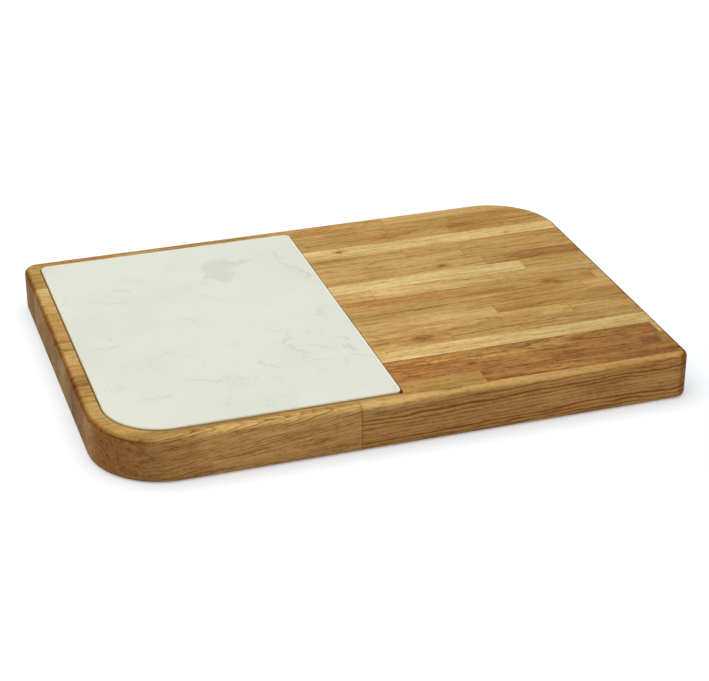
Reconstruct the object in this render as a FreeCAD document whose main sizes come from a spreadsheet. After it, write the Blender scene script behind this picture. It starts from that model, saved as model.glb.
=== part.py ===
import FreeCAD
import Part
import Sketcher
import math
import os

# An oak cutting board with a loose marble slab and two steel drawer trays in its right end.
# Millimetres, +Z up. The origin is the middle of the underside, with +X along the board's length.

sizes = {
    # The finished board
    "board_length": 500.0,
    "board_width": 350.0,
    "board_thickness": 40.0,
    "large_corner_radius": 63.0,
    "small_corner_radius": 13.0,
    "top_edge_radius": 4.5,
    "bottom_edge_radius": 4.0,
    # The glue-up: staves in rows, planed and trimmed after gluing
    "stave_width": 18.9,
    "front_row_width": 9.8,
    "overrun": 5.0,
    # The marble slab in its recess
    "rim_width": 12.75,
    "slab_length": 235.0,
    "slab_thickness": 12.0,
    "slab_proud": 1.8,
    "slab_gap": 1.0,
    "slab_corner_radius": 7.0,
    "slab_edge_radius": 1.8,
    "recess_corner_radius": 3.0,
    "pad_diameter": 14.0,
    "pad_thickness": 1.0,
    "pad_inset": 32.0,
    # The two drawer bays, milled from below and open at the right end
    "bay_width": 120.0,
    "bay_depth": 210.0,
    "bay_corner_radius": 6.0,
    "divider_width": 14.0,
    "roof_thickness": 13.0,
    # The panel that closes the bays
    "panel_thickness": 4.0,
    "panel_lap": 10.0,
    "panel_setback": 6.0,
    "panel_clearance": 0.25,
    "panel_corner_radius": 6.0,
    # Screws
    "screw_diameter": 3.5,
    "screw_clearance": 0.1,
    "base_screw_length": 16.0,
    "base_screw_head_diameter": 7.0,
    "base_screw_head_height": 2.4,
    "front_screw_length": 13.0,
    "front_screw_head_diameter": 7.0,
    "front_screw_head_height": 2.2,
    "front_screw_head_bevel": 0.8,
    "front_screw_spacing": 64.0,
    "drive_slot_length": 4.2,
    "drive_slot_width": 1.0,
    "drive_slot_depth": 1.3,
    # Glide strips and catch magnets
    "glide_width": 8.0,
    "glide_thickness": 1.5,
    "glide_spacing": 72.0,
    "glide_end_gap": 3.0,
    "magnet_diameter": 8.0,
    "magnet_length": 4.0,
    "magnet_clearance": 0.1,
    "magnet_air_gap": 0.5,
    # Drawer fronts
    "front_thickness": 18.0,
    "front_clearance": 0.6,
    "front_edge_radius": 0.8,
    "lip_lift": 1.0,
    "lip_edge_radius": 3.0,
    "groove_length": 70.0,
    "groove_height": 9.0,
    "groove_depth": 7.0,
    "groove_corner_radius": 4.0,
    "groove_floor_radius": 2.5,
    # Drawer trays
    "tray_wall": 1.0,
    "tray_flange": 5.0,
    "tray_side_clearance": 1.2,
    "tray_head_clearance": 1.8,
    "tray_back_clearance": 2.0,
    "tray_corner_radius": 12.0,
    "tray_floor_radius": 5.0,
    "tray_front_corner_radius": 2.0,
}

# Sizes and places that follow from the ones above
fits = {
    "half_length": "Size.board_length / 2",
    "half_width": "Size.board_width / 2",
    # Behind the narrow front row, whole rows of about a stave's width fill the board
    "rows_width": "Size.board_width - Size.front_row_width",
    "full_rows": "round(Fit.rows_width / Size.stave_width)",
    "row_width": "Fit.rows_width / Fit.full_rows",
    "recess_length": "Size.slab_length + 2 * Size.slab_gap",
    "recess_width": "Size.board_width - 2 * Size.rim_width",
    "recess_depth": "Size.slab_thickness + Size.pad_thickness - Size.slab_proud",
    "recess_floor": "Size.board_thickness - Fit.recess_depth",
    "recess_centre": "Size.rim_width + Fit.recess_length / 2 - Fit.half_length",
    "recess_large_radius": "Size.large_corner_radius - Size.rim_width",
    "recess_back_radius": "Size.slab_corner_radius + Size.slab_gap",
    "slab_width": "Fit.recess_width - 2 * Size.slab_gap",
    "slab_large_radius": "Fit.recess_large_radius - Size.slab_gap",
    "slab_underside": "Fit.recess_floor + Size.pad_thickness",
    "pad_reach_x": "Size.slab_length / 2 - Size.pad_inset",
    "pad_reach_y": "Fit.slab_width / 2 - Size.pad_inset",
    # The bays lie side by side in the middle of the straight stretch of the right end
    "bays_centre": "(Size.small_corner_radius - Size.large_corner_radius) / 2",
    "bay_step": "(Size.bay_width + Size.divider_width) / 2",
    "near_bay_centre": "Fit.bays_centre - Fit.bay_step",
    "far_bay_centre": "Fit.bays_centre + Fit.bay_step",
    "bay_roof": "Size.board_thickness - Size.roof_thickness",
    "bay_back": "Fit.half_length - Size.bay_depth",
    "bay_cut_length": "Size.bay_depth + Size.overrun",
    "bay_cut_centre": "Fit.bay_back + Fit.bay_cut_length / 2",
    "panel_length": "Size.bay_depth + Size.panel_lap - Size.panel_setback",
    "panel_width": "2 * Fit.bay_step + Size.bay_width + 2 * Size.panel_lap",
    "panel_centre": "Fit.half_length - Size.panel_setback - Fit.panel_length / 2",
    "rebate_length": "Fit.panel_length + 2 * Size.panel_clearance",
    "rebate_width": "Fit.panel_width + 2 * Size.panel_clearance",
    "screw_hole_diameter": "Size.screw_diameter + 2 * Size.screw_clearance",
    "countersink_diameter": "Size.base_screw_head_diameter + 2 * Size.screw_clearance",
    "base_screw_line": "Fit.bay_step + Size.bay_width / 2 + Size.panel_lap / 2",
    "base_screw_back_row": "Fit.bay_back - Size.panel_lap / 2",
    "tray_front": "Fit.half_length - Size.front_thickness",
    "tray_underside": "Size.panel_thickness + Size.glide_thickness",
    "tray_height": "Fit.bay_roof - Size.tray_head_clearance - Fit.tray_underside",
    "tray_length": "Size.bay_depth - Size.front_thickness - Size.tray_back_clearance",
    "tray_width": "Size.bay_width - 2 * Size.tray_side_clearance",
    "pan_length": "Fit.tray_length - Size.tray_flange",
    "pan_width": "Fit.tray_width - 2 * Size.tray_flange",
    "cavity_length": "Fit.pan_length - 2 * Size.tray_wall",
    "cavity_width": "Fit.pan_width - 2 * Size.tray_wall",
    "cavity_corner_radius": "Size.tray_corner_radius - Size.tray_wall",
    "cavity_floor_radius": "Size.tray_floor_radius - Size.tray_wall",
    "cavity_depth": "Fit.tray_height - Size.tray_wall",
    "glide_length": "Fit.tray_length - 2 * Size.glide_end_gap",
    "glide_start": "Fit.tray_front - Size.glide_end_gap - Fit.glide_length",
    "magnet_proud": "Size.tray_back_clearance - Size.magnet_air_gap",
    "magnet_hole_diameter": "Size.magnet_diameter + 2 * Size.magnet_clearance",
    "magnet_hole_depth": "Size.magnet_length - Fit.magnet_proud",
    "front_width": "Size.bay_width - 2 * Size.front_clearance",
    "front_underside": "Size.panel_thickness + Size.front_clearance",
    "front_top": "Fit.bay_roof - Size.front_clearance",
    "front_height": "Fit.front_top - Fit.front_underside",
    "front_middle": "(Fit.front_top + Fit.front_underside) / 2",
    "lip_thickness": "Size.panel_setback - Size.front_clearance",
    "lip_height": "Fit.front_top - Size.lip_lift",
    "lip_middle": "(Fit.front_top + Size.lip_lift) / 2",
    "front_hole_depth": "Size.front_screw_length - Size.tray_wall + Size.screw_clearance",
}

# Where the staves of each row end, from the front row to the back one, as shares of the board's length
stave_joint_shares = [
    [0.42],
    [0.20, 0.642],
    [0.36, 0.973],
    [0.27, 0.985],
    [0.44],
    [0.17, 0.642],
    [0.31, 0.88],
    [0.22, 0.752],
    [0.41, 0.94],
    [0.25, 0.973],
    [0.15, 0.566],
    [0.33, 0.868],
    [0.12, 0.808],
    [0.38, 0.782],
    [0.24, 0.678],
    [0.30, 0.566],
    [0.19, 0.796],
    [0.40, 0.678, 0.812],
    [0.686],
]

# Places of the base screws, as shares of the panel's length and width
base_screw_length_shares = (-0.44, 0.0, 0.44)
base_screw_width_shares = (-0.28, 0.28)

tolerance = Part.Precision.approximation()
doc = FreeCAD.newDocument("CuttingBoard")


def fill_sheet(name, cells):
    sheet = doc.addObject("Spreadsheet::Sheet", name)
    for row, (alias, value) in enumerate(cells.items(), start=1):
        sheet.set(f"A{row}", alias)
        sheet.set(f"B{row}", str(value))
        sheet.setAlias(f"B{row}", alias)
    return sheet


size = fill_sheet("Size", sizes)
fit = fill_sheet("Fit", {alias: "=" + formula for alias, formula in fits.items()})
doc.recompute()


def number(cell):
    # The value of one cell, named as in an expression: Size.word or Fit.word
    sheet, alias = cell.split(".")
    return float(getattr(doc.getObject(sheet), alias))


def bind(item, **formulas):
    for name, formula in formulas.items():
        item.setExpression(name, formula)
    return item


def place(item, x="0", y="0", z="0"):
    for axis, formula in zip("xyz", (x, y, z)):
        item.setExpression(f"Placement.Base.{axis}", formula)
    return item


def primitive(kind, name, x="0", y="0", z="0", **formulas):
    return place(bind(doc.addObject(f"Part::{kind}", name), **formulas), x, y, z)


def boolean(kind, name, base, tool):
    item = doc.addObject(f"Part::{kind}", name)
    item.Base = base
    item.Tool = tool
    return item


def group(name, members):
    item = doc.addObject("Part::Compound", name)
    item.Links = members
    return item


def copies(name, master, spots):
    # One linked copy of the master at each spot, held together as a group
    links = []
    for index, spot in enumerate(spots, start=1):
        link = doc.addObject("App::Link", f"{name}_{index}")
        link.LinkedObject = master
        link.Placement.Rotation = master.Placement.Rotation
        links.append(place(link, *spot))
    return group(name, links)


# Body, sketch and feature helpers

def new_body(name):
    return doc.addObject("PartDesign::Body", name)


def rounded_rectangle(body, name, plane, length, width, radii, x="0", y="0", z="0"):
    # A rectangle centred on x, y in a plane of the body, lifted by z along the plane's normal.
    # The radii go round from the low corner: low, second, far and fourth.
    sketch = body.newObject("Sketcher::SketchObject", name)
    planes = [item for item in body.Origin.OriginFeatures if item.Role == plane]
    sketch.AttachmentSupport = (planes[0], [""])
    sketch.MapMode = "FlatFace"
    for axis, formula in zip("xyz", (x, y, z)):
        sketch.setExpression(f"AttachmentOffset.Base.{axis}", formula)
    across = number(length) / 2
    up = number(width) / 2
    low, second, far, fourth = [number(radius) for radius in radii]
    normal = FreeCAD.Vector(0, 0, 1)
    ends = [
        ((low - across, -up), (across - second, -up)),
        ((across, second - up), (across, up - far)),
        ((across - far, up), (fourth - across, up)),
        ((-across, up - fourth), (-across, low - up)),
    ]
    centres = [
        (across - second, second - up, second),
        (across - far, up - far, far),
        (fourth - across, up - fourth, fourth),
        (low - across, low - up, low),
    ]
    quarter = math.pi / 2
    for side in range(4):
        start, end = [FreeCAD.Vector(*point, 0) for point in ends[side]]
        sketch.addGeometry(Part.LineSegment(start, end))
        centre_x, centre_y, radius = centres[side]
        circle = Part.Circle(FreeCAD.Vector(centre_x, centre_y, 0), normal, radius)
        turn = (side - 1) * quarter
        sketch.addGeometry(Part.ArcOfCircle(circle, turn, turn + quarter))
    for side in range(4):
        line = 2 * side
        arc = line + 1
        sketch.addConstraint(Sketcher.Constraint("Tangent", line, 2, arc, 1))
        sketch.addConstraint(Sketcher.Constraint("Tangent", arc, 2, (line + 2) % 8, 1))
        sketch.addConstraint(Sketcher.Constraint("Vertical" if side % 2 else "Horizontal", line))
    reaches = [
        (Sketcher.Constraint("DistanceY", 0, 1, -1, 1, up), width),
        (Sketcher.Constraint("DistanceX", -1, 1, 2, 1, across), length),
        (Sketcher.Constraint("DistanceY", -1, 1, 4, 1, up), width),
        (Sketcher.Constraint("DistanceX", 6, 1, -1, 1, across), length),
    ]
    for constraint, formula in reaches:
        index = sketch.addConstraint(constraint)
        sketch.setExpression(f"Constraints[{index}]", f"{formula} / 2")
    corner_formulas = radii[1:] + radii[:1]
    for side, formula in enumerate(corner_formulas):
        index = sketch.addConstraint(Sketcher.Constraint("Radius", 2 * side + 1, number(formula)))
        sketch.setExpression(f"Constraints[{index}]", formula)
    return sketch


def pad(body, sketch, name, length, backwards=False, both_ways=False):
    feature = body.newObject("PartDesign::Pad", name)
    feature.Profile = sketch
    feature.Reversed = backwards
    if both_ways:
        feature.SideType = "Symmetric"
    feature.setExpression("Length", length)
    doc.recompute()
    return feature


def pocket(body, sketch, name, length, backwards=False):
    before = body.Shape.Volume
    feature = body.newObject("PartDesign::Pocket", name)
    feature.Profile = sketch
    feature.Reversed = backwards
    feature.setExpression("Length", length)
    doc.recompute()
    if body.Shape.Volume >= before:
        raise RuntimeError(f"{name} cuts nothing")
    return feature


def round_edges(body, name, radius, wanted):
    # Round every edge of the body whose ends and middle all pass the test
    base = body.Tip
    names = []
    for index, edge in enumerate(base.Shape.Edges, start=1):
        ends = edge.ParameterRange
        points = [edge.valueAt(ends[0]), edge.valueAt(sum(ends) / 2), edge.valueAt(ends[1])]
        if all(wanted(point) for point in points):
            names.append(f"Edge{index}")
    feature = body.newObject("PartDesign::Fillet", name)
    feature.Base = (base, names)
    feature.setExpression("Radius", radius)
    doc.recompute()
    return feature


def same(one, other):
    return abs(one - other) <= tolerance


def at_height(level):
    return lambda point: same(point.z, level)


# The board as it is milled: one outline, a recess above and two bays below

def milled_board():
    body = new_body("MilledBoard")
    outline_radii = ["Size.large_corner_radius", "Size.small_corner_radius"] * 2
    outline = rounded_rectangle(
        body, "Outline", "XY_Plane", "Size.board_length", "Size.board_width", outline_radii)
    pad(body, outline, "Blank", "Size.board_thickness")
    round_edges(body, "TopEdge", "Size.top_edge_radius", at_height(size.board_thickness))
    round_edges(body, "BottomEdge", "Size.bottom_edge_radius", at_height(0))
    # Sharper than the slab at the front right, where a fingernail gets under its corner
    recess_radii = ["Fit.recess_large_radius", "Size.recess_corner_radius"] + ["Fit.recess_back_radius"] * 2
    recess = rounded_rectangle(
        body, "RecessOutline", "XY_Plane", "Fit.recess_length", "Fit.recess_width", recess_radii,
        x="Fit.recess_centre", z="Size.board_thickness")
    pocket(body, recess, "Recess", "Fit.recess_depth")
    for side in ("near", "far"):
        bay = rounded_rectangle(
            body, f"{side.title()}BayOutline", "XY_Plane", "Fit.bay_cut_length", "Size.bay_width",
            ["Size.bay_corner_radius"] * 4, x="Fit.bay_cut_centre", y=f"Fit.{side}_bay_centre")
        pocket(body, bay, f"{side.title()}Bay", "Fit.bay_roof", backwards=True)
    rebate = rounded_rectangle(
        body, "RebateOutline", "XY_Plane", "Fit.rebate_length", "Fit.rebate_width",
        ["Size.panel_corner_radius"] * 4, x="Fit.panel_centre", y="Fit.bays_centre")
    pocket(body, rebate, "Rebate", "Size.panel_thickness", backwards=True)
    return body


def base_screw_spots():
    spots = []
    for share in base_screw_length_shares:
        x = f"Fit.panel_centre + {share} * Fit.panel_length"
        for y in ("Fit.bays_centre - Fit.base_screw_line", "Fit.bays_centre",
                  "Fit.bays_centre + Fit.base_screw_line"):
            spots.append((x, y))
    for share in base_screw_width_shares:
        spots.append(("Fit.base_screw_back_row", f"Fit.bays_centre + {share} * Fit.panel_width"))
    return spots


def magnet_spots(x):
    return [(x, f"Fit.{side}_bay_centre", "Fit.bay_roof / 2") for side in ("near", "far")]


def along_x(item):
    # Turn a piece made along Z so that it points along X
    item.Placement.Rotation = FreeCAD.Rotation(FreeCAD.Vector(0, 0, 1), FreeCAD.Vector(1, 0, 0))
    return item


def drilled_board():
    pilot = primitive("Cylinder", "BasePilot", Radius="Fit.screw_hole_diameter / 2",
                      Height="Size.base_screw_length + Size.screw_clearance")
    magnet_hole = primitive("Cylinder", "MagnetHole", Radius="Fit.magnet_hole_diameter / 2",
                            Height="Fit.magnet_hole_depth + Size.tray_back_clearance")
    along_x(magnet_hole)
    holes = group("BoardHoles", [
        copies("BasePilots", pilot, base_screw_spots()),
        copies("MagnetHoles", magnet_hole, magnet_spots("Fit.bay_back - Fit.magnet_hole_depth")),
    ])
    return boolean("Cut", "DrilledBoard", milled_board(), holes)


def stave_rows():
    # Rows are laid from the front edge, where one stave was trimmed narrow after gluing
    board = drilled_board()
    full_rows = round(fit.full_rows)
    rows = []
    for row in range(full_rows + 1):
        back = f"Size.front_row_width - Fit.half_width + {row} * Fit.row_width"
        front = f"{back} - Fit.row_width"
        if row == 0:
            front = "-Fit.half_width - Size.overrun"
        if row == full_rows:
            back = "Fit.half_width + Size.overrun"
        name = f"{row + 1:02d}"
        strip = primitive(
            "Box", f"Strip_{name}", "-Fit.half_length - Size.overrun", front, "-Size.overrun",
            Length="Size.board_length + 2 * Size.overrun", Width=f"({back}) - ({front})",
            Height="Size.board_thickness + 2 * Size.overrun")
        milled_strip = boolean("Common", f"MilledStrip_{name}", strip, board)
        joint_shares = stave_joint_shares[row % len(stave_joint_shares)]
        rows.append(group(f"stave_row_{name}", staves(name, milled_strip, front, back, joint_shares)))
    return rows


def staves(name, milled_strip, front, back, joint_shares):
    # The pieces of one row, parted at its butt joints
    joints = [f"{share} * Size.board_length - Fit.half_length" for share in joint_shares]
    starts = ["-Fit.half_length - Size.overrun"] + joints
    ends = joints + ["Fit.half_length + Size.overrun"]
    pieces = []
    for index, (start, end) in enumerate(zip(starts, ends), start=1):
        blank = primitive(
            "Box", f"Blank_{name}_{index}", start, f"{front} - Size.overrun", "-Size.overrun",
            Length=f"({end}) - ({start})", Width=f"({back}) - ({front}) + 2 * Size.overrun",
            Height="Size.board_thickness + 2 * Size.overrun")
        pieces.append(boolean("Common", f"Stave_{name}_{index}", blank, milled_strip))
    return pieces


# The slab and its pads

def stone_slab():
    body = new_body("stone_slab")
    radii = ["Fit.slab_large_radius"] + ["Size.slab_corner_radius"] * 3
    outline = rounded_rectangle(
        body, "SlabOutline", "XY_Plane", "Size.slab_length", "Fit.slab_width", radii)
    pad(body, outline, "Slab", "Size.slab_thickness")
    round_edges(body, "SlabTopEdge", "Size.slab_edge_radius", at_height(size.slab_thickness))
    round_edges(body, "SlabBottomEdge", "Size.slab_edge_radius", at_height(0))
    return place(body, "Fit.recess_centre", "0", "Fit.slab_underside")


def slab_pads():
    pad_disc = primitive("Cylinder", "SlabPad", Radius="Size.pad_diameter / 2",
                         Height="Size.pad_thickness")
    spots = []
    for across in ("-", "+"):
        for up in ("-", "+"):
            spots.append((f"Fit.recess_centre {across} Fit.pad_reach_x",
                          f"0 {up} Fit.pad_reach_y", "Fit.recess_floor"))
    return copies("slab_pads", pad_disc, spots)


# The panel under the bays, and what is fixed to it

def drive_slots(name):
    # The crossed slots of a screw head, cut upwards from the plane of the head
    arms = []
    for arm, (length, width) in enumerate((("drive_slot_length", "drive_slot_width"),
                                           ("drive_slot_width", "drive_slot_length")), start=1):
        arms.append(primitive(
            "Box", f"{name}_{arm}", f"-Size.{length} / 2", f"-Size.{width} / 2",
            Length=f"Size.{length}", Width=f"Size.{width}", Height="Size.drive_slot_depth"))
    return boolean("Fuse", name, *arms)


def base_screws():
    head = primitive("Cone", "BaseScrewHead", Radius1="Size.base_screw_head_diameter / 2",
                     Radius2="Size.screw_diameter / 2", Height="Size.base_screw_head_height")
    shank = primitive("Cylinder", "BaseScrewShank", Radius="Size.screw_diameter / 2",
                      Height="Size.base_screw_length")
    solid = boolean("Fuse", "BaseScrewSolid", head, shank)
    screw = boolean("Cut", "BaseScrew", solid, drive_slots("BaseScrewDrive"))
    return copies("base_screws", screw, base_screw_spots())


def base_panel():
    body = new_body("PanelSheet")
    outline = rounded_rectangle(
        body, "PanelOutline", "XY_Plane", "Fit.panel_length", "Fit.panel_width",
        ["Size.panel_corner_radius"] * 4, x="Fit.panel_centre", y="Fit.bays_centre")
    pad(body, outline, "Panel", "Size.panel_thickness")
    countersink = primitive("Cone", "Countersink", Radius1="Fit.countersink_diameter / 2",
                            Radius2="Fit.screw_hole_diameter / 2",
                            Height="Size.base_screw_head_height")
    through = primitive("Cylinder", "PanelHole", Radius="Fit.screw_hole_diameter / 2",
                        Height="Size.panel_thickness")
    hole = boolean("Fuse", "ScrewSeat", countersink, through)
    return boolean("Cut", "base_panel", body, copies("ScrewSeats", hole, base_screw_spots()))


def drawer_glides():
    strip = primitive("Box", "GlideStrip", Length="Fit.glide_length", Width="Size.glide_width",
                      Height="Size.glide_thickness")
    spots = []
    for side in ("near", "far"):
        for half in ("-", "+"):
            middle = f"Fit.{side}_bay_centre {half} Size.glide_spacing / 2"
            spots.append(("Fit.glide_start", f"{middle} - Size.glide_width / 2", "Size.panel_thickness"))
    return copies("drawer_glides", strip, spots)


def catch_magnets():
    magnet = along_x(primitive("Cylinder", "CatchMagnet", Radius="Size.magnet_diameter / 2",
                               Height="Size.magnet_length"))
    return copies("catch_magnets", magnet, magnet_spots("Fit.bay_back - Fit.magnet_hole_depth"))


# The drawers: a pressed steel tray, an oak front and the screws between them

def front_screw_spots(side, x):
    return [(x, f"Fit.{side}_bay_centre {half} Size.front_screw_spacing / 2", "Fit.front_middle")
            for half in ("-", "+")]


def tray(side):
    body = new_body(f"{side.title()}Pan")
    pan = rounded_rectangle(
        body, "PanOutline", "XY_Plane", "Fit.pan_length", "Fit.pan_width",
        ["Size.tray_corner_radius"] * 4, x="-Fit.pan_length / 2")
    pad(body, pan, "Pan", "Fit.tray_height")
    flange_radii = ["Size.tray_corner_radius", "Size.tray_front_corner_radius",
                    "Size.tray_front_corner_radius", "Size.tray_corner_radius"]
    flange = rounded_rectangle(
        body, "FlangeOutline", "XY_Plane", "Fit.tray_length", "Fit.tray_width", flange_radii,
        x="-Fit.tray_length / 2", z="Fit.tray_height")
    pad(body, flange, "Flange", "Size.tray_wall", backwards=True)
    cavity = rounded_rectangle(
        body, "CavityOutline", "XY_Plane", "Fit.cavity_length", "Fit.cavity_width",
        ["Fit.cavity_corner_radius"] * 4, x="-Fit.pan_length / 2", z="Fit.tray_height")
    pocket(body, cavity, "Cavity", "Fit.cavity_depth")
    round_edges(body, "CavityFloorEdge", "Fit.cavity_floor_radius", at_height(size.tray_wall))
    round_edges(body, "PanFloorEdge", "Size.tray_floor_radius", at_height(0))
    place(body, "Fit.tray_front", f"Fit.{side}_bay_centre", "Fit.tray_underside")
    hole = along_x(primitive("Cylinder", f"{side.title()}TrayHole", Height="2 * Size.tray_wall",
                             Radius="Fit.screw_hole_diameter / 2"))
    holes = copies(f"{side.title()}TrayHoles", hole,
                   front_screw_spots(side, "Fit.tray_front - Size.tray_wall"))
    return boolean("Cut", f"{side}_tray", body, holes)


def drawer_front(side):
    body = new_body(f"{side.title()}FrontBlock")
    eased = "Size.front_edge_radius"
    block = rounded_rectangle(
        body, "BlockProfile", "XZ_Plane", "Size.front_thickness", "Fit.front_height", [eased] * 4,
        x="-Size.front_thickness / 2", y="Fit.front_middle")
    pad(body, block, "Block", "Fit.front_width", both_ways=True)
    lip = rounded_rectangle(
        body, "LipProfile", "XZ_Plane", "Fit.lip_thickness", "Fit.lip_height",
        [eased, "Size.lip_edge_radius", eased, eased], x="-Fit.lip_thickness / 2", y="Fit.lip_middle")
    pad(body, lip, "Lip", "Fit.front_width", both_ways=True)
    groove = rounded_rectangle(
        body, "GrooveOutline", "YZ_Plane", "Size.groove_length", "Size.groove_height",
        ["Size.groove_corner_radius"] * 4, y="Fit.front_middle")
    pocket(body, groove, "Groove", "Size.groove_depth")
    round_edges(body, "GrooveFloorEdge", "Size.groove_floor_radius",
                lambda point: same(point.x, -size.groove_depth))
    reach = size.groove_height / 2 + tolerance
    round_edges(body, "GrooveMouthEdge", eased,
                lambda point: same(point.x, 0) and abs(point.z - fit.front_middle) <= reach)
    place(body, "Fit.half_length", f"Fit.{side}_bay_centre")
    hole = along_x(primitive("Cylinder", f"{side.title()}FrontHole", Height="Fit.front_hole_depth",
                             Radius="Fit.screw_hole_diameter / 2"))
    holes = copies(f"{side.title()}FrontHoles", hole, front_screw_spots(side, "Fit.tray_front"))
    return boolean("Cut", f"{side}_front", body, holes)


def front_screw():
    # The underside of the head is at the origin, with the shank along the axis
    crown = primitive("Cone", "FrontScrewCrown", z="-Size.front_screw_head_height",
                      Radius1="Size.front_screw_head_diameter / 2 - Size.front_screw_head_bevel",
                      Radius2="Size.front_screw_head_diameter / 2",
                      Height="Size.front_screw_head_bevel")
    rim = primitive("Cylinder", "FrontScrewRim",
                    z="Size.front_screw_head_bevel - Size.front_screw_head_height",
                    Radius="Size.front_screw_head_diameter / 2",
                    Height="Size.front_screw_head_height - Size.front_screw_head_bevel")
    shank = primitive("Cylinder", "FrontScrewShank", Radius="Size.screw_diameter / 2",
                      Height="Size.front_screw_length")
    head = boolean("Fuse", "FrontScrewHead", crown, rim)
    solid = boolean("Fuse", "FrontScrewSolid", head, shank)
    slots = place(drive_slots("FrontScrewDrive"), z="-Size.front_screw_head_height")
    return along_x(boolean("Cut", "FrontScrew", solid, slots))


def front_screws(side, screw):
    return copies(f"{side}_front_screws", screw,
                  front_screw_spots(side, "Fit.tray_front - Size.tray_wall"))


def whole_part():
    pieces = [stone_slab(), slab_pads(), base_panel(), base_screws(), drawer_glides(), catch_magnets()]
    screw = front_screw()
    for side in ("near", "far"):
        pieces += [tray(side), drawer_front(side), front_screws(side, screw)]
    return pieces + stave_rows()


def check(pieces):
    doc.recompute()
    for item in doc.Objects:
        if "Invalid" in item.State or "Error" in item.State:
            raise RuntimeError(f"{item.Label} failed to build")
    for piece in pieces:
        if piece.Shape.isNull() or not piece.Shape.isValid() or not piece.Shape.Solids:
            raise RuntimeError(f"{piece.Label} has no sound shape")


def write(pieces):
    os.makedirs("parts", exist_ok=True)
    for piece in pieces:
        piece.Shape.exportStep(f"parts/{piece.Label}.step")
        solids = len(piece.Shape.Solids)
        print(f"{piece.Label}: {solids} solids, {piece.Shape.Volume:.0f} cubic millimetres")


pieces = whole_part()
check(pieces)
write(pieces)
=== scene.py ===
import bpy
import math
import random
from mathutils import Matrix, Vector


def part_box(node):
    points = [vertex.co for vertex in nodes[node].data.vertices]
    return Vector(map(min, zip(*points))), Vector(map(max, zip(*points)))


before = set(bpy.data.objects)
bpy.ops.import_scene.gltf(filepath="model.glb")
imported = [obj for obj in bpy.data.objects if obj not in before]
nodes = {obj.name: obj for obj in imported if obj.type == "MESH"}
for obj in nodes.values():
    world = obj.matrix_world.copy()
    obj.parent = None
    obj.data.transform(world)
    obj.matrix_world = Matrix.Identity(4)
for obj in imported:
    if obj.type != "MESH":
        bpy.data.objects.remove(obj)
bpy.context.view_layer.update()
mm = 0.001
print("frame loaded with", len(nodes), "nodes")


class Wire:  # a socket whose sums become Math nodes
    def __init__(self, owner, socket):
        self.owner = owner
        self.socket = socket

    def sum(self, operation, *terms):
        return self.owner.node("Math", {"operation": operation}, dict(enumerate(terms)))

    def __add__(self, other):
        return self.sum("ADD", self, other)

    def __sub__(self, other):
        return self.sum("SUBTRACT", self, other)

    def __rsub__(self, other):
        return self.sum("SUBTRACT", other, self)

    def __mul__(self, other):
        return self.sum("MULTIPLY", self, other)

    def __truediv__(self, other):
        return self.sum("DIVIDE", self, other)

    def __rtruediv__(self, other):
        return self.sum("DIVIDE", other, self)

    def __pow__(self, other):
        return self.sum("POWER", self, other)

    def __gt__(self, other):
        return self.sum("GREATER_THAN", self, other)

    def __abs__(self):
        return self.sum("ABSOLUTE", self)

    __radd__ = __add__
    __rmul__ = __mul__


class NodeTree:  # the nodes of one material, or of the sky
    def __init__(self, tree):
        self.tree = tree

    def node(self, kind, settings=None, values=None, out=0):
        made = self.tree.nodes.new("ShaderNode" + kind)
        for key, value in (settings or {}).items():
            setattr(made, key, value)
        for key, value in (values or {}).items():
            self.feed(made.inputs[key], value)
        return Wire(self, made.outputs[out])

    def feed(self, socket, value):
        if isinstance(value, Wire):
            self.tree.links.new(value.socket, socket)
        elif socket.type == "RGBA":
            socket.default_value = (*value[:3], 1.0)
        else:
            socket.default_value = value

    def place(self):
        return self.node("TexCoord", out="Object")

    def facing(self):
        return self.split(self.node("TexCoord", out="Normal"))

    def split(self, vector):
        parts = self.node("SeparateXYZ", values={0: vector})
        return [Wire(self, socket) for socket in parts.socket.node.outputs]

    def join(self, x, y, z):
        return self.node("CombineXYZ", values={0: x, 1: y, 2: z})

    def stretch(self, point, *factors):
        return self.node("VectorMath", {"operation": "MULTIPLY"}, {0: point, 1: factors})

    def noise(self, point, scale=1.0, detail=2.0, rough=0.5, out=0):
        values = {"Vector": point, "Scale": scale, "Detail": detail, "Roughness": rough}
        return self.node("TexNoise", values=values, out=out)

    def ease(self, value, start, end, low=0.0, high=1.0):
        values = {0: value, 1: start, 2: end, 3: low, 4: high}
        return self.node("MapRange", {"interpolation_type": "SMOOTHSTEP"}, values)

    def mix(self, factor, one, other, blend="MIX"):
        settings = {"data_type": "RGBA", "blend_type": blend}
        return self.node("Mix", settings, {0: factor, 6: one, 7: other}, out=2)

    def tint(self, factor, one, tone):
        return self.mix(factor, one, tone, "MULTIPLY")


class Finish(NodeTree):  # one material while its nodes are laid
    def __init__(self, name, **fixed):
        self.material = bpy.data.materials.new(name)
        self.material.use_nodes = True
        super().__init__(self.material.node_tree)
        self.shader = self.tree.nodes["Principled BSDF"]
        for words, value in fixed.items():
            self.set(words.replace("_", " "), value)

    def set(self, socket, value):
        self.feed(self.shader.inputs[socket], value)

    def bump(self, height, distance, strength):
        values = {"Strength": strength, "Distance": distance, "Height": height}
        self.set("Normal", self.node("Bump", values=values))

    def dress(self, *names):
        for name in names:
            nodes[name].material_slots[0].material = self.material


def shade(*levels):  # a colour as seen on screen, 0 to 255, turned into linear light
    parts = [level / 255 for level in levels]
    return tuple(p / 12.92 if p < 0.04045 else ((p + 0.055) / 1.055) ** 2.4 for p in parts)


def dimmed(tone, tint):
    return tuple(level * share for level, share in zip(tone, tint))


# The oak of the board: staves sawn from different logs, oiled

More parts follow.
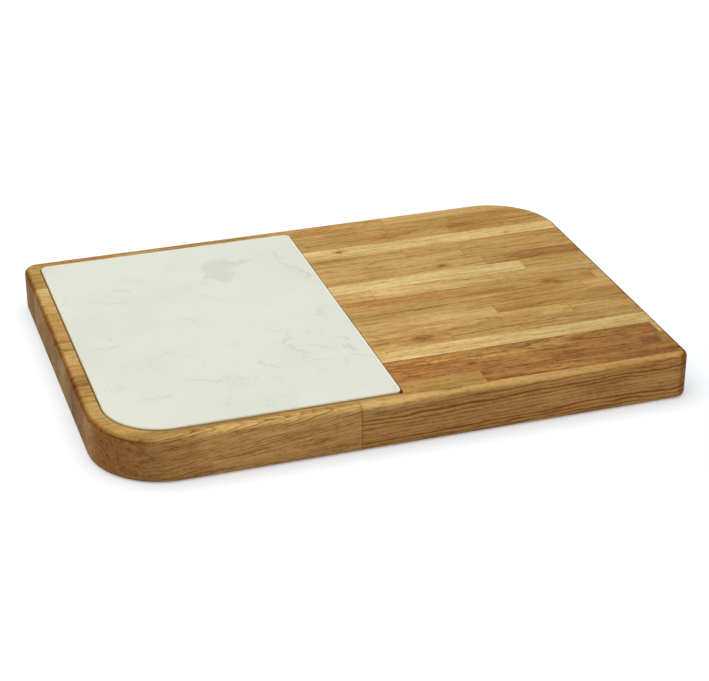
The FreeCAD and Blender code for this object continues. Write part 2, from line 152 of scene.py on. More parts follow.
oak = {
    "tones": {  # clear wood, the patches in it, and how dark its lines are
        "pale": (shade(219, 191, 127), shade(213, 182, 117), 0.75),
        "honey": (shade(206, 172, 107), shade(198, 161, 98), 0.75),
        "edge": (shade(211, 173, 108), shade(203, 163, 98), 0.88),
        "corner": (shade(194, 156, 93), shade(186, 146, 84), 0.88),
        "golden": (shade(197, 159, 96), shade(189, 148, 86), 0.72),
        "tan": (shade(193, 155, 92), shade(186, 143, 80), 0.70),
        "russet": (shade(186, 146, 83), shade(178, 132, 73), 0.80),
        "umber": (shade(178, 138, 79), shade(168, 123, 67), 0.80),
        "brown": (shade(166, 117, 64), shade(190, 142, 79), 1.2),
        "flamed": (shade(168, 121, 67), shade(205, 162, 94), 1.25),
    },
    "figures": {  # the heart of the log from the middle of the stave, its run and the rings, in mm
        "straight": {"across": 95.0, "above": 14.0, "lean": 0.036, "climb": 0.012,
                     "rings": 5.4, "fade": 2.4, "bold": 0.62},
        "rift": {"across": 48.0, "above": -52.0, "lean": 0.045, "climb": 0.030,
                 "rings": 4.8, "fade": 2.4, "bold": 0.62},
        "cathedral": {"across": 2.0, "above": 3.0, "lean": 0.012, "climb": 0.050,
                      "rings": 2.6, "fade": 3.0, "bold": 0.66},
        "flat": {"across": 2.0, "above": -135.0, "lean": 0.0, "climb": 0.020,
                 "rings": 3.3, "fade": 2.9, "bold": 2.6},
        "feather": {"across": 0.6, "above": 48.0, "lean": 0.0, "climb": 0.133,
                    "rings": 2.0, "fade": 3.6, "bold": 2.3},
    },
    "spread": (0.75, 1.3),  # how far a figure's values stray from stave to stave
    "steady": ("flat", "feather"),  # figures that don't stray
    "steadySeed": 4.0,
    "steadyGleam": 0.4,
    # How fine the grain's noises are along, across and up, and the levels at which they show
    "fineness": {
        "sway": (6, 22, 22),
        "ripple": (30, 100, 100),
        "streak": (20, 290, 290),
        "dash": (135, 380, 380),
        "fleck": (320, 680, 680),
        "band": (1.6, 95, 95),
        "drift": (11, 48, 48),
    },
    "levels": {
        "streak": (0.44, 0.70),
        "dash": (0.48, 0.66),
        "fleck": (0.52, 0.68),
        "paleDash": (0.50, 0.30),
        "paleStreak": (0.50, 0.32),
        "patch": (0.46, 0.62),
        "speckle": (0.50, 0.60),
    },
    "sway": 9.0,
    "ripple": 5.0,
    "faintest": 0.2,
    "streakShare": 0.42,
    "poreShare": 0.50,
    "poreEven": 0.5,  # the share of the pores that lies outside the year rings' dark lines
    "fleckShare": 0.45,
    "driftMiddle": 0.48,
    "driftShare": 0.5,
    "bandShare": 0.7,
    "paleDashShare": 0.5,
    "paleStreakShare": 0.4,
    "lineTint": (0.42, 0.30, 0.19),
    "lightTint": (1.20, 1.22, 1.25),
    # Knots and stains are ragged ovals
    "knotLong": 1.8,
    "knotRagged": 1.4,
    "knotHeart": (0.3, 1.5),
    "knotHalo": (0.6, 3.0),
    "knotLift": 1.2,
    "knotSpeckle": 300.0,
    "speckleShare": 0.50,
    "knotShare": 0.48,
    "knotTint": (0.66, 0.48, 0.40),
    "haloShare": 0.55,
    "haloTint": (0.80, 0.62, 0.48),
    "stainRagged": 1.6,
    "stainEdge": (0.6, 1.3),
    # Where a face looks, from -1 to 1, along the stave or up
    "turns": {
        "upright": (0.35, 0.85),
        "flatTop": (0.75, 0.99),
        "gluedTop": (0.5, 0.9),
        "tilted": (0.1, 0.5),
        "aroundLeft": (-0.55, -1.0),
        # painted shade on faces that turn to the right
        "soakAndShadeRight": (0.06, 0.36),
        "soakLeft": (0.0, -0.8),
        "sawnEnd": (0.92, 1.0),
        "browStart": (-0.10, -0.60),
        "browEnd": (-0.95, -0.75),
        "browFoot": (0.0, 0.20),
        "browTop": (0.30, 0.75),
    },
    # painted shade: how dark the edges and walls that face right are made, and in which tints
    "wallSoakAndShade": 0.65,
    "soakAndShadeTint": (0.50, 0.33, 0.22),
    "wallTint": (0.52, 0.42, 0.38),
    "endTints": ((0.67, 0.66, 0.87), (0.66, 0.60, 0.66)),
    "browTint": (0.50, 0.36, 0.22),
    # Painted shade: upright faces at the front take a deeper, redder tone, the hue of wood in shade; on the
    # right stave, whose face is also browner, only below a line that climbs to the right
    "shadedUprightTones": (shade(219, 171, 105), shade(209, 156, 93)),
    "lowerFrom": 36.0,
    "lowerTo": 32.0,
    "lowerClimb": 0.050,
    "rightTone": shade(192, 149, 86),
    "rightFrom": -20.0,
    "rightTo": 235.0,
    # Lines grow faint high on the right front stave, on the top and round the front-left corner
    "rightCalm": 0.6,
    "topCalm": 0.4,
    "calmFrom": -216.0,
    "calmTo": -188.0,
    "calmShare": 0.38,
    # Beside the slab these rows deepen towards the right end
    "deepRows": (1, 2, 3, 4, 5, 7, 10),
    "deepFrom": 10.0,
    "deepTo": 245.0,
    "deepTints": ((1.09, 1.09, 1.09), (0.85, 0.84, 0.84)),
    # Glue lines
    "jointTint": (0.34, 0.24, 0.17),
    "jointEdge": (0.18, 0.72),
    "jointEven": 0.25,
    "buttShare": 0.45,
    "frontButtShare": 0.95,
    "gluedShare": 0.35,
    "rough": 0.52,
    "lineRough": 0.14,
    "soakAndShadeRough": 0.25,
    "ringRelief": 0.4,
    "streakRelief": 0.3,
    "relief": 0.06,
    "reliefShare": 0.5,
}

# Tone and figure of each stave from the left end, row by row from the front edge
rowStaves = [
    ["edge feather", "edge flat"],
    ["corner feather", "russet cathedral", "brown straight"],
    ["corner feather", "brown cathedral", "umber straight"],
    ["corner feather", "flamed cathedral", "pale straight"],
    ["golden straight", "pale straight"],
    ["russet straight", "tan rift", "golden straight"],
    ["umber straight", "golden cathedral", "golden straight"],
    ["tan rift", "honey straight", "russet straight"],
    ["honey straight", "tan straight", "golden straight"],
    ["honey cathedral", "russet straight", "honey straight"],
    ["tan rift", "golden straight", "honey rift"],
    ["golden straight", "pale straight", "russet rift"],
    ["russet cathedral", "golden straight", "umber straight"],
    ["golden rift", "golden cathedral", "tan straight"],
    ["honey straight", "golden straight", "tan straight"],
    ["honey straight", "pale straight", "pale straight"],
    ["umber straight", "russet cathedral", "russet straight"],
    ["tan rift", "golden straight", "tan straight", "tan straight"],
    ["russet straight", "golden straight"],
]

# Knots: row, place from the left end and from the front edge, and radius, in mm
knots = [
    (2, 320.0, 43.6, 1.8),
    (5, 296.0, 98.0, 5.5),
    (9, 441.0, 168.5, 3.2),
    (9, 450.0, 166.0, 2.6),
    (12, 363.0, 228.0, 2.6),
    (15, 283.0, 285.0, 2.6),
    (15, 447.0, 279.5, 1.4),
]

# Darker and paler heartwood: row, place, half length and half width in mm, and tint
stains = [
    (0, 52.0, 4.0, 30.0, 14.0, (0.80, 0.76, 0.72)),
    (1, 478.0, 19.0, 34.0, 5.0, (0.86, 0.78, 0.76)),
    (1, 284.0, 19.0, 40.0, 15.0, (0.86, 0.84, 0.82)),
    (2, 478.0, 37.0, 12.0, 9.0, (0.72, 0.62, 0.67)),
    (2, 452.0, 45.0, 16.0, 4.0, (0.82, 0.74, 0.74)),
    (3, 478.0, 54.5, 12.0, 5.2, (1.26, 1.22, 1.02)),
    (3, 426.0, 52.0, 24.0, 4.0, (1.16, 1.15, 1.08)),
    (3, 300.0, 55.0, 26.0, 4.0, (1.16, 1.16, 1.10)),
    (3, 358.0, 57.0, 46.0, 12.0, (0.86, 0.84, 0.82)),
    (3, 280.0, 57.0, 36.0, 15.0, (1.16, 1.17, 1.18)),
    (6, 4.0, 113.7, 20.0, 18.0, (0.87, 0.85, 0.88)),
    (6, 285.0, 113.7, 56.0, 16.0, (1.13, 1.13, 1.13)),
    (8, 292.0, 151.5, 56.0, 16.0, (0.91, 0.90, 0.89)),
    (9, 286.0, 170.4, 56.0, 16.0, (1.15, 1.15, 1.16)),
    (10, 306.0, 190.0, 36.0, 16.0, (1.12, 1.17, 1.32)),
    (11, 350.0, 208.5, 110.0, 18.0, (1.03, 1.05, 1.10)),
    (15, 8.0, 284.0, 40.0, 16.0, (1.02, 1.07, 1.16)),
    (18, 296.0, 343.0, 52.0, 16.0, (1.20, 1.23, 1.28)),
]


def buttJoints(name):  # where two staves of a row meet, their end faces lie back to back
    mesh = nodes[name].data
    ahead = {round(face.center.x, 4) for face in mesh.polygons if face.normal.x > 0.999}
    behind = {round(face.center.x, 4) for face in mesh.polygons if face.normal.x < -0.999}
    return sorted(ahead & behind)


def sawCuts(seed, staves):  # how each stave lies in its log, a little different each time
    cuts = []
    for index, words in enumerate(staves):
        tone, figure = words.split()
        steady = figure in oak["steady"]
        luck = random.Random(100 * seed + index)
        cut = dict(oak["figures"][figure])
        if not steady:
            cut = {key: value * luck.uniform(*oak["spread"]) for key, value in cut.items()}
            for key in ("across", "lean", "climb"):
                cut[key] *= luck.choice((-1, 1))
        cut["clear"], cut["patch"], cut["depth"] = oak["tones"][tone]
        cut["seed"] = oak["steadySeed"] if steady else luck.uniform(1, 9)
        cut["gleam"] = cut["depth"] * (oak["steadyGleam"] if steady else 1.0)
        cuts.append(cut)
    return cuts


def oakFinish(name, cuts, joints, glued=(), spots=(), marks=(), alongX=True, middle=0.0,
              lower=False, front=False, deep=False):
    finish = Finish(name, IOR=1.45, Specular_IOR_Level=0.05)
    levels, turns = oak["levels"], oak["turns"]
    x, y, z = finish.split(finish.place())
    facing = finish.facing()
    if not alongX:
        x, y = y, x
    past = [x > joint for joint in joints]

    def pick(key, unit=1.0):  # one value for each stave of the row
        values = [cut[key] * unit for cut in cuts]
        chosen = values[0]
        for beyond, before, after in zip(past, values, values[1:]):
            chosen = beyond * (after - before) + chosen
        return chosen

    def pickTone(key):
        chosen = cuts[0][key]
        for beyond, cut in zip(past, cuts[1:]):
            chosen = finish.mix(beyond, chosen, cut[key])
        return chosen

    grain = finish.join(x + pick("seed"), y, z)

    def texture(key, **words):  # noise drawn out along the grain
        return finish.noise(finish.stretch(grain, *oak["fineness"][key]), **words)

    sway = finish.split(texture("sway", out=1))
    ripple = finish.split(texture("ripple", out=1))

    def wander(distance, part):  # no log grows quite straight
        swayed = distance + (sway[part] - 0.5) * (oak["sway"] * mm)
        return swayed + (ripple[part] - 0.5) * (oak["ripple"] * mm)

    def oval(middleX, middleY, halfLength, halfWidth, ragged):  # below 1 inside
        along = (x - middleX) / halfLength
        aside = (y - middleY) / halfWidth
        return (along * along + aside * aside) ** 0.5 + (ripple[2] - 0.5) * ragged

    # Year rings round the heart, which swell past a knot
    across = wander(y - middle - pick("across", mm) - x * pick("lean"), 0)
    above = wander(z - pick("above", mm) - x * pick("climb"), 1)
    radius = (across * across + above * above) ** 0.5
    knotted = 0.0
    halo = 0.0
    for knotX, knotY, size in spots:
        reach = oval(knotX, knotY, oak["knotLong"] * size, size, oak["knotRagged"])
        knotted = 1 - finish.ease(reach, *oak["knotHeart"]) + knotted
        around = 1 - finish.ease(reach, *oak["knotHalo"])
        halo = around + halo
        radius = radius + around * (oak["knotLift"] * size)
    phase = radius / pick("rings", mm)
    ring = phase.sum("FLOOR", phase)
    weight = finish.node("TexWhiteNoise", {"noise_dimensions": "1D"}, {"W": ring})
    weight = weight * weight * (1 - oak["faintest"]) + oak["faintest"]
    early = (1 - (phase - ring)) ** pick("fade") * weight
    if lower:
        upright = 1 - finish.ease(abs(facing[2]), *turns["upright"])
        sunk = 0.0
        if front:
            level = z - x * oak["lowerClimb"] + (sway[2] - 0.5) * (oak["sway"] * mm)
            sunk = finish.ease(level, oak["lowerFrom"] * mm, oak["lowerTo"] * mm)
        sunk = (past[0] * (sunk - 1) + 1) * upright
        if front:
            early = early * (1 - past[0] * ((1 - sunk) * oak["rightCalm"]))
        early = early * (1 - finish.ease(facing[2], *turns["flatTop"]) * oak["topCalm"])
        early = early * finish.ease(x, oak["calmFrom"] * mm, oak["calmTo"] * mm, oak["calmShare"], 1.0)

    # Streaks, pores and slow bands
    streak = texture("streak", rough=0.6)
    dash = texture("dash", rough=0.6)
    fleck = texture("fleck", detail=1.0)
    band = texture("band", detail=1.0)
    drift = texture("drift")
    pore = finish.ease(dash, *levels["dash"]) * (early * (1 - oak["poreEven"]) + oak["poreEven"])
    pore = pore + finish.ease(fleck, *levels["fleck"]) * oak["fleckShare"]
    dark = early * pick("bold") + finish.ease(streak, *levels["streak"]) * oak["streakShare"]
    dark = dark + pore * oak["poreShare"]
    dark = dark + (drift - oak["driftMiddle"]) * oak["driftShare"] + (band - 0.5) * oak["bandShare"]
    pale = finish.ease(dash, *levels["paleDash"]) * oak["paleDashShare"]
    pale = pale + finish.ease(streak, *levels["paleStreak"]) * oak["paleStreakShare"]

    tone = finish.mix(finish.ease(drift, *levels["patch"]), pickTone("clear"), pickTone("patch"))
    if front:
        rightward = finish.ease(x, oak["rightFrom"] * mm, oak["rightTo"] * mm)
        tone = finish.mix(rightward, tone, oak["rightTone"])
    if lower:
        # painted shade: upright faces take the redder shaded tones
        tone = finish.mix(sunk, tone, finish.mix(past[0], *oak["shadedUprightTones"]))
    if deep:
        rightward = finish.ease(x, oak["deepFrom"] * mm, oak["deepTo"] * mm)
        tone = finish.tint(past[0], tone, finish.mix(rightward, *oak["deepTints"]))
    line = finish.tint(1.0, tone, oak["lineTint"])
    colour = finish.tint(pale * pick("gleam"), tone, oak["lightTint"])
    colour = finish.mix(dark * pick("depth"), colour, line)
    if spots:
        speckle = finish.ease(finish.noise(grain, scale=oak["knotSpeckle"]), *levels["speckle"])
        colour = finish.tint(halo * oak["haloShare"], colour, oak["haloTint"])
        heart = finish.tint(1.0, line, oak["knotTint"])
        colour = finish.mix(knotted * (speckle * oak["speckleShare"] + oak["knotShare"]), colour, heart)
    for *place, tint in marks:
        reach = oval(*place, oak["stainRagged"])
        colour = finish.tint(1 - finish.ease(reach, *oak["stainEdge"]), colour, tint)

    # Rounded edges that cut across the grain are darker: oil soaks into the end grain on the left, and
    # painted shade darkens the edges and walls that face right; the sawn ends stay greyer
    ahead, aside = facing[:2] if alongX else (facing[1], facing[0])
    tilted = finish.ease(facing[2], *turns["tilted"])
    turned = finish.ease(ahead / (ahead * ahead + aside * aside) ** 0.5, *turns["aroundLeft"])
    soakedAndShaded = tilted * (1 - oak["wallSoakAndShade"]) + oak["wallSoakAndShade"]
    # painted shade: faces that turn to the right are darkened, walls less than rounded edges
    soakedAndShaded = finish.ease(ahead, *turns["soakAndShadeRight"]) * soakedAndShaded
    soakedAndShaded = soakedAndShaded + finish.ease(ahead, *turns["soakLeft"]) * (1 - tilted * (1 - turned))
    endCut = finish.tint(1.0, colour, finish.mix(ahead > 0.0, *oak["endTints"]))
    colour = finish.tint(soakedAndShaded, colour, finish.mix(tilted, oak["wallTint"], oak["soakAndShadeTint"]))
    colour = finish.mix(finish.ease(abs(ahead), *turns["sawnEnd"]), colour, endCut)
    # A dark line runs round the corners of the left end, low on the rounded edge
    brow = finish.ease(ahead, *turns["browStart"]) * finish.ease(ahead, *turns["browEnd"])
    brow = brow * finish.ease(facing[2], *turns["browFoot"])
    brow = brow * (1 - finish.ease(facing[2], *turns["browTop"]))
    colour = finish.tint(brow, colour, oak["browTint"])

    # Glue lines show on the top, and joints between staves all round
    seam = 0.0
    faceUp = finish.ease(facing[2], *turns["gluedTop"], 0.0, oak["gluedShare"])
    buttShare = oak["frontButtShare" if front else "buttShare"]
    jointEdge = [distance * mm for distance in oak["jointEdge"]]
    gaps = [(x - joint, buttShare) for joint in joints] + [(y - edge, faceUp) for edge in glued]
    for gap, share in gaps:
        seam = (1 - finish.ease(abs(gap), *jointEdge)) * share + seam
    glue = finish.tint(1.0, tone, oak["jointTint"])
    colour = finish.mix(seam * (streak + oak["jointEven"]), colour, glue)
    finish.set("Base Color", colour)
    finish.set("Roughness", oak["rough"] + dark * oak["lineRough"] + soakedAndShaded * oak["soakAndShadeRough"])
    sunken = early * oak["ringRelief"] + streak * oak["streakRelief"] + pore
    finish.bump(1 - sunken, oak["relief"] * mm, oak["reliefShare"])
    return finish


def dressBoard():
    thickness = nodes["stave_row_01"].dimensions.z
    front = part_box("stave_row_01")[0].y
    frontMiddle = (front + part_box("stave_row_01")[1].y) / 2
    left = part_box("stave_row_10")[0].x
    for row, staves in enumerate(rowStaves):
        name = f"stave_row_{row + 1:02d}"
        low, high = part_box(name)
        spots = [(left + x * mm, front + y * mm, size * mm) for owner, x, y, size in knots if owner == row]
        marks = [(left + x * mm, front + y * mm, length * mm, width * mm, tint)
                 for owner, x, y, length, width, tint in stains if owner == row]
        middle = (low.y + high.y) / 2
        cuts = sawCuts(row + 1, staves)
        for cut, words in zip(cuts, staves):
            cut["above"] += thickness / mm / 2
            if "feather" in words:  # the corner shows one log all round
                cut["across"] += (frontMiddle - middle) / mm
        glued = [low.y] * (row > 0) + [high.y] * (row + 1 < len(rowStaves))
        finish = oakFinish(f"oak_row_{row + 1:02d}", cuts, buttJoints(name), glued, spots, marks,
                           middle=middle, lower="feather" in staves[0], front=row == 0,
                           deep=row in oak["deepRows"])
        finish.dress(name)


dressBoard()
print("oak staves finished:", len(rowStaves), "rows")


# Drawer fronts: one short oak board each, with its grain across the end of the board

fronts = {
    "near": {"stave": "golden cathedral", "seed": 31},
    "far": {"stave": "tan rift", "seed": 32},
}


def dressFronts():
    for side, made in fronts.items():
        low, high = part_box(f"{side}_front")
        cuts = sawCuts(made["seed"], [made["stave"]])
        cuts[0]["above"] += (low.z + high.z) / 2 / mm
        middle = (low.x + high.x) / 2
        oakFinish(f"oak_{side}_front", cuts, [], alongX=False, middle=middle).dress(f"{side}_front")


dressFronts()
print("drawer fronts finished")


# The marble slab

slab = {
    "tone": shade(220, 222, 208),
    "cloud": shade(215, 217, 203),
    "cloudScale": 11.0,
    "cloudLevels": (0.35, 0.7),
    "vein": shade(168, 170, 155),
    "crackStretch": (34, 20, 24),
    "crackWidth": (0.004, 0.020),
    "crackShare": 0.14,
    "patchScale": 42.0,
    "patchLevels": (0.51, 0.62),
    # Painted highlight: the right rim and a thin band of the top along it are made near white. Painted
    # reflection: the sides below are cream, the oak's warm light on them
    "rim": shade(254, 252, 240),
    "rimFrom": 2.1,
    "rimTo": 1.5,
    "rimShare": 0.85,
    "rimTurn": (0.10, 0.45),
    "flatTop": (0.80, 0.98),
    "edge": shade(214, 199, 140),
    "edgeTurn": (0.20, 0.95),
    "edgeClear": 0.6,
    "rough": 0.36,
    "patchRough": 0.10,
    "skinScale": 900.0,
    "relief": 0.02,
    "reliefShare": 0.25,
    # Patches and veins that show: both ends from the left end and the front edge, half width, strength
    "facet": 5.5,
    "facetShare": 0.8,
    "bendScale": 55.0,
    "bend": 22.0,
    "markReach": 0.6,
    "markEdge": (0.6, 1.3),
    "marks": [
        (153.0, 285.0, 186.0, 286.0, 15.0, 0.26),
        (155.0, 260.0, 172.0, 274.0, 12.0, 0.28),
        (182.0, 286.0, 198.0, 295.0, 4.5, 0.26),
        (223.0, 300.0, 224.0, 277.0, 1.8, 0.28),
        (224.0, 277.0, 241.0, 241.0, 1.6, 0.26),
        (192.0, 140.0, 180.0, 124.0, 2.0, 0.23),
        (180.0, 124.0, 198.0, 100.0, 2.2, 0.23),
        (193.0, 85.0, 214.0, 83.0, 1.4, 0.20),
        (226.0, 119.0, 236.0, 111.0, 2.2, 0.26),
        (225.0, 105.0, 233.0, 93.0, 2.2, 0.28),
        (228.0, 184.0, 229.0, 160.0, 1.6, 0.20),
        (152.0, 101.0, 164.0, 81.0, 2.0, 0.22),
        (91.0, 87.0, 118.0, 74.0, 2.2, 0.22),
        (66.0, 267.0, 79.0, 260.0, 2.2, 0.22),
        (41.0, 248.0, 69.0, 242.0, 1.8, 0.18),
        (27.0, 161.0, 53.0, 161.0, 1.8, 0.20),
        (44.0, 61.0, 70.0, 65.0, 2.0, 0.18),
        (136.0, 229.0, 168.0, 211.0, 1.2, 0.16),
        (173.0, 151.0, 189.0, 144.0, 1.6, 0.18),
        (203.0, 115.0, 222.0, 99.0, 1.8, 0.16),
        (110.0, 196.0, 121.0, 188.0, 1.8, 0.16),
        (230.0, 85.0, 245.0, 74.0, 1.8, 0.18),
        (118.0, 80.0, 130.0, 72.0, 1.8, 0.16),
    ],
}


def dressSlab():
    finish = Finish("honed_marble", IOR=1.5, Specular_IOR_Level=0.35)
    point = finish.place()
    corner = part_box("stave_row_10")[0].x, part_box("stave_row_01")[0].y
    cloud = finish.noise(point, scale=slab["cloudScale"], detail=3.0, rough=0.6)
    crack = finish.noise(finish.stretch(point, *slab["crackStretch"]), detail=4.0, rough=0.6)
    patch = finish.noise(point, scale=slab["patchScale"])
    vein = 1 - finish.ease(abs(crack - 0.5), *slab["crackWidth"])
    amount = vein * finish.ease(patch, *slab["patchLevels"]) * slab["crackShare"]

    # Marks have broken edges, as between crystals
    cells = {"Vector": point, "Scale": 1 / (slab["facet"] * mm)}
    facet = finish.split(finish.node("TexVoronoi", values=cells, out="Color"))
    bend = finish.split(finish.noise(point, scale=slab["bendScale"], detail=3.0, out=1))
    flat = finish.split(point)

    def broken(part):
        shifted = flat[part] + (facet[part] - 0.5) * (slab["facetShare"] * slab["facet"] * mm)
        return shifted + (bend[part] - 0.5) * (slab["bend"] * mm) - corner[part]

    x, y = broken(0), broken(1)
    for startX, startY, endX, endY, width, strength in slab["marks"]:
        length = math.hypot(endX - startX, endY - startY)
        run = (endX - startX) / length, (endY - startY) / length
        offX = x - (startX + endX) / 2 * mm
        offY = y - (startY + endY) / 2 * mm
        along = (offX * run[0] + offY * run[1]) / (slab["markReach"] * length * mm)
        aside = (offY * run[0] - offX * run[1]) / (width * mm)
        mark = 1 - finish.ease(along * along + aside * aside, *slab["markEdge"])
        amount = amount.sum("MAXIMUM", amount, mark * strength)

    colour = finish.mix(finish.ease(cloud, *slab["cloudLevels"]), slab["tone"], slab["cloud"])
    colour = finish.mix(amount, colour, slab["vein"])
    facing = finish.facing()
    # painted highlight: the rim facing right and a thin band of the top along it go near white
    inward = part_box("stone_slab")[1].x - flat[0]
    paintedHighlightBand = finish.ease(inward, slab["rimFrom"] * mm, slab["rimTo"] * mm)
    paintedHighlightBand = paintedHighlightBand * finish.ease(facing[2], *slab["flatTop"])
    paintedHighlight = finish.ease(facing[0], *slab["rimTurn"])
    paintedHighlight = paintedHighlight.sum("MAXIMUM", paintedHighlight, paintedHighlightBand * slab["rimShare"])
    colour = finish.mix(paintedHighlight, colour, slab["rim"])
    # painted reflection: the upright sides go cream, as if lit by the oak, less so under the painted
    # highlight
    side = (1 - finish.ease(facing[2], *slab["edgeTurn"])) * (1 - paintedHighlight * slab["edgeClear"])
    finish.set("Base Color", finish.mix(side, colour, slab["edge"]))
    finish.set("Roughness", slab["rough"] + patch * slab["patchRough"])
    skin = finish.noise(point, scale=slab["skinScale"])
    finish.bump(skin, slab["relief"] * mm, slab["reliefShare"])
    finish.dress("stone_slab")


dressSlab()
print("marble slab finished")


# Metal pieces

metals = {
    "tray_steel": {"tone": shade(200, 201, 200), "rough": 0.30, "brush": (7, 800, 800), "worn": 0.12},
    "screw_zinc": {"tone": shade(196, 197, 192), "rough": 0.34, "brush": (500, 500, 500), "worn": 0.22},
    "magnet_nickel": {"tone": shade(208, 205, 197), "rough": 0.16, "brush": (300, 300, 300), "worn": 0.08},
}
metalWear = {
    "dullTint": (0.72, 0.72, 0.71),
    "brushLevels": (0.3, 0.7),
    "brushShare": 0.35,
    "brushRough": 0.18,
    "handledScale": 38.0,
    "handledLevels": (0.5, 0.75),
    "handledShare": 0.25,
    "relief": 0.03,
    "reliefShare": 0.35,
}


def dressMetal(name, *pieces):
    made = metals[name]
    finish = Finish(name, Metallic=1.0)
    point = finish.place()
    brushed = finish.noise(finish.stretch(point, *made["brush"]), detail=3.0, rough=0.65)
    handled = finish.noise(point, scale=metalWear["handledScale"], detail=3.0, rough=0.6)
    dulled = dimmed(made["tone"], metalWear["dullTint"])
    scored = finish.ease(brushed, *metalWear["brushLevels"]) * metalWear["brushShare"]
    greased = finish.ease(handled, *metalWear["handledLevels"]) * metalWear["handledShare"]
    finish.set("Base Color", finish.mix(greased, finish.mix(scored, made["tone"], dulled), dulled))
    rough = made["rough"] + (brushed - 0.5) * metalWear["brushRough"] + handled * made["worn"]
    finish.set("Roughness", rough)
    finish.bump(brushed, metalWear["relief"] * mm, metalWear["reliefShare"])
    finish.dress(*pieces)


dressMetal("tray_steel", "near_tray", "far_tray")
dressMetal("screw_zinc", "base_screws", "near_front_screws", "far_front_screws")
dressMetal("magnet_nickel", "catch_magnets")
print("trays, screws and magnets finished")


# The panel under the bays: thin birch plywood

panel = {
    "veneer": shade(205, 176, 132),
    "grain": shade(178, 143, 98),
    "crossPly": shade(160, 122, 80),
    "plies": 5,
    "swayStretch": (5, 16, 16),
    "sway": 30.0,
    "figureStretch": (6, 120, 120),
    "figureLevels": (0.38, 0.68),
    "figureShare": 0.6,
    "fibreStretch": (60, 1500, 1500),
    "fibreShare": 0.2,
    "edgeTurn": (0.3, 0.7),
    "rough": 0.58,
    "figureRough": 0.14,
    "relief": 0.04,
    "reliefShare": 0.4,
}


def dressPanel():
    finish = Finish("birch_plywood", Specular_IOR_Level=0.25)
    point = finish.place()
    x, y, z = finish.split(point)
    sway = (finish.noise(finish.stretch(point, *panel["swayStretch"])) - 0.5) * (panel["sway"] * mm)
    swayed = finish.stretch(finish.join(x, y + sway, z), *panel["figureStretch"])
    figure = finish.noise(swayed, detail=3.0, rough=0.55)
    fibre = finish.noise(finish.stretch(point, *panel["fibreStretch"]), detail=1.0)
    grain = finish.ease(figure, *panel["figureLevels"]) * panel["figureShare"] + fibre * panel["fibreShare"]
    colour = finish.mix(grain, panel["veneer"], panel["grain"])
    depth = z / (2 * nodes["base_panel"].dimensions.z / panel["plies"])
    layer = depth.sum("FRACT", depth)
    edge = 1 - finish.ease(abs(finish.facing()[2]), *panel["edgeTurn"])
    finish.set("Base Color", finish.mix(edge * (layer > 0.5), colour, panel["crossPly"]))
    finish.set("Roughness", panel["rough"] + figure * panel["figureRough"])
    finish.bump(fibre + figure, panel["relief"] * mm, panel["reliefShare"])
    finish.dress("base_panel")


dressPanel()
print("base panel finished")


# Nylon glides and silicone pads

soft = {
    "glide_nylon": {"tone": shade(226, 223, 212), "rough": 0.42, "grain": 700.0},
    "pad_silicone": {"tone": shade(214, 214, 210), "rough": 0.55, "grain": 240.0},
}
softWear = {
    "greyTint": (0.86, 0.85, 0.83),
    "rubStretch": (12, 160, 160),
    "rubLevels": (0.4, 0.75),
    "rubShare": 0.5,
    "rubRough": 0.2,
    "skinShare": 0.15,
    "relief": 0.03,
    "reliefShare": 0.4,
}


def dressSoft(name, piece):
    made = soft[name]
    finish = Finish(name)
    point = finish.place()
    skin = finish.noise(point, scale=made["grain"], detail=3.0)
    rubbed = finish.noise(finish.stretch(point, *softWear["rubStretch"]))
    worn = finish.ease(rubbed, *softWear["rubLevels"]) * softWear["rubShare"] + skin * softWear["skinShare"]
    finish.set("Base Color", finish.mix(worn, made["tone"], dimmed(made["tone"], softWear["greyTint"])))
    finish.set("Roughness", made["rough"] + (rubbed - 0.5) * softWear["rubRough"])
    finish.bump(skin, softWear["relief"] * mm, softWear["reliefShare"])
    finish.dress(piece)


dressSoft("glide_nylon", "drawer_glides")
dressSoft("pad_silicone", "slab_pads")
print("glides and pads finished")


# Floor, light and camera

studio = {
    "floorSide": 8.0,
    "floorGap": 0.0002,
    "floorTone": 0.74,
    "shadowTint": (0.92, 0.965, 1.0),
    "shadowShare": 0.70,
    "glow": 1.24,
    "fadeStart": 0.34,
    "fadeEnd": 0.70,
    "lampSides": (3.6, 4.4),
    "lampPlace": (-0.5, 0.0, 2.8),
    "lampPower": 118.0,
    "sky": 0.14,
}

photo = {
    "width": 709,
    "sensor": 36,
    "focal": 1933.55,
    "azimuth": -18.34,
    "elevation": 27.39,
    "roll": 0.07,
    "from": (-0.46518, -1.43761, 0.79049),
}


def seenDirectly(tree):  # 1 for rays that show the background itself, mirrored or seen through
    camera, glossy, through = [tree.node("LightPath", out=f"Is {kind} Ray")
                               for kind in ("Camera", "Glossy", "Transmission")]
    return camera.sum("MAXIMUM", camera, glossy.sum("MAXIMUM", glossy, through))


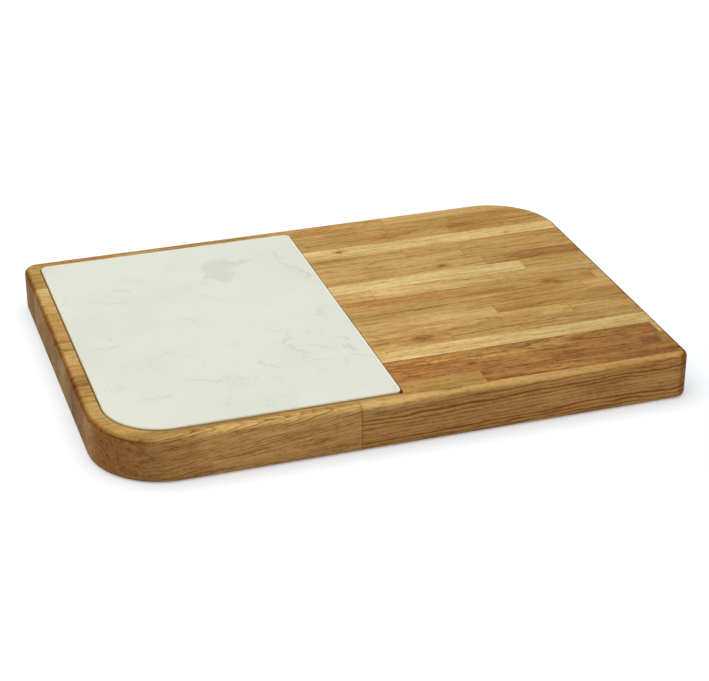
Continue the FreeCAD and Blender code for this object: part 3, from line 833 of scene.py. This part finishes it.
def layFloor():
    half = studio["floorSide"] / 2
    mesh = bpy.data.meshes.new("floor")
    corners = [(-half, -half), (half, -half), (half, half), (-half, half)]
    mesh.from_pydata([(x, y, -studio["floorGap"]) for x, y in corners], [], [(0, 1, 2, 3)])
    floor = bpy.data.objects.new("floor", mesh)
    bpy.context.scene.collection.objects.link(floor)
    finish = Finish("pale_floor")
    seen = seenDirectly(finish)
    away = finish.node("VectorMath", {"operation": "LENGTH"}, {0: finish.place()}, out="Value")
    near = 1 - finish.ease(away, studio["fadeStart"], studio["fadeEnd"])
    pale = finish.node("BsdfDiffuse", values={"Color": [studio["floorTone"]] * 3})
    white = finish.node("BsdfDiffuse", values={"Color": studio["shadowTint"]})
    glow = finish.node("Emission", values={"Color": (1, 1, 1), "Strength": studio["glow"]})
    shown = finish.node("MixShader", values={0: near * studio["shadowShare"], 1: glow, 2: white})
    whole = finish.node("MixShader", values={0: seen, 1: pale, 2: shown})
    finish.feed(finish.tree.nodes["Material Output"].inputs["Surface"], whole)
    mesh.materials.append(finish.material)


def hangLights():
    world = bpy.data.worlds.new("studio")
    world.use_nodes = True
    bpy.context.scene.world = world
    sky = NodeTree(world.node_tree)
    background = world.node_tree.nodes["Background"]
    sky.feed(background.inputs["Color"], (1, 1, 1))
    sky.feed(background.inputs["Strength"], seenDirectly(sky) * (1 - studio["sky"]) + studio["sky"])
    lamp = bpy.data.lights.new("softbox", "AREA")
    lamp.shape = "RECTANGLE"
    lamp.size, lamp.size_y = studio["lampSides"]
    lamp.energy = studio["lampPower"]
    softbox = bpy.data.objects.new("softbox", lamp)
    softbox.location = studio["lampPlace"]
    softbox.visible_glossy = False  # steel shows the pale room, not a burnt-out lamp
    softbox.rotation_euler = softbox.location.to_track_quat("Z", "Y").to_euler()
    bpy.context.scene.collection.objects.link(softbox)


def setCamera():
    azimuth, elevation, roll = [math.radians(photo[key]) for key in ("azimuth", "elevation", "roll")]
    level = math.cos(elevation)
    back = Vector((math.sin(azimuth) * level, -math.cos(azimuth) * level, math.sin(elevation)))
    right = Vector((math.cos(azimuth), math.sin(azimuth), 0))
    up = back.cross(right)
    tiltedRight = right * math.cos(roll) + up * math.sin(roll)
    tiltedUp = up * math.cos(roll) - right * math.sin(roll)
    turn = Matrix((tiltedRight, tiltedUp, back)).transposed().to_4x4()
    lens = bpy.data.cameras.new("camera")
    lens.sensor_width = photo["sensor"]
    lens.lens = photo["focal"] * photo["sensor"] / photo["width"]
    camera = bpy.data.objects.new("camera", lens)
    camera.matrix_world = Matrix.Translation(photo["from"]) @ turn
    bpy.context.scene.collection.objects.link(camera)
    bpy.context.scene.camera = camera


layFloor()
hangLights()
setCamera()
bpy.context.scene.view_settings.view_transform = "Standard"
print("floor, light and camera set")
